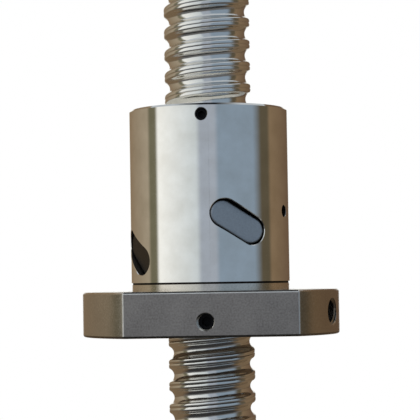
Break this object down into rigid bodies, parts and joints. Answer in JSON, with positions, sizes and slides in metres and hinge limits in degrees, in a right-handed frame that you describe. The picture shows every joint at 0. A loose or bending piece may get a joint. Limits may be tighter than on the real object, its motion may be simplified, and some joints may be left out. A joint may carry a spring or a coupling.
{
  "type": "ball screw",
  "caption": "Ball screw: a helically grooved shaft in a flanged ball nut with oblong return caps, machined for bearings at both ends.",
  "frame": {"origin": "on the screw's axis, in the flange's seating face on the side of the nut's body", "axes": "+Z along the screw from the flange through the nut's body, +X through the two middle bolt holes, -Y square to the front flat"},
  "size_m": [0.058, 0.044, 0.192],
  "materials": {
    "nut_steel": "ground body, dark hardened flange",
    "cap_steel": "sintered, grey-blue",
    "wiper_polymer": "moulded polyamide",
    "set_screw_steel": "black oxide",
    "ball_steel": "polished bearing steel",
    "screw_steel": "rolled and polished"
  },
  "bodies": {
    "nut": {"nut_body": "nut_steel", "return_cap_1": "cap_steel", "return_cap_2": "cap_steel", "return_cap_3": "cap_steel", "return_cap_4": "cap_steel", "lower_wiper": "wiper_polymer", "upper_wiper": "wiper_polymer", "lower_wiper_screw": "set_screw_steel", "upper_wiper_screw": "set_screw_steel"},
    "ball_train": {"ball_circuit_1": "ball_steel", "ball_circuit_2": "ball_steel", "ball_circuit_3": "ball_steel", "ball_circuit_4": "ball_steel"},
    "screw": {"screw_shaft": "screw_steel"}
  },
  "joints": [
    {"name": "screw_turn", "type": "hinge", "parent": "nut", "child": "ball_train", "pos_m": [0, 0, 0], "axis": [0, 0, 1], "range_deg": [-2160, 2160], "deforming": ["ball_circuit_1", "ball_circuit_2", "ball_circuit_3", "ball_circuit_4"]},
    {"name": "screw_feed", "type": "slide", "parent": "ball_train", "child": "screw", "axis": [0, 0, 1], "range_m": [-0.03, 0.03]}
  ],
  "couplings": [
    {"joint": "screw_turn", "follows": "screw_feed", "rad_per_m": 1256.6}
  ]
}
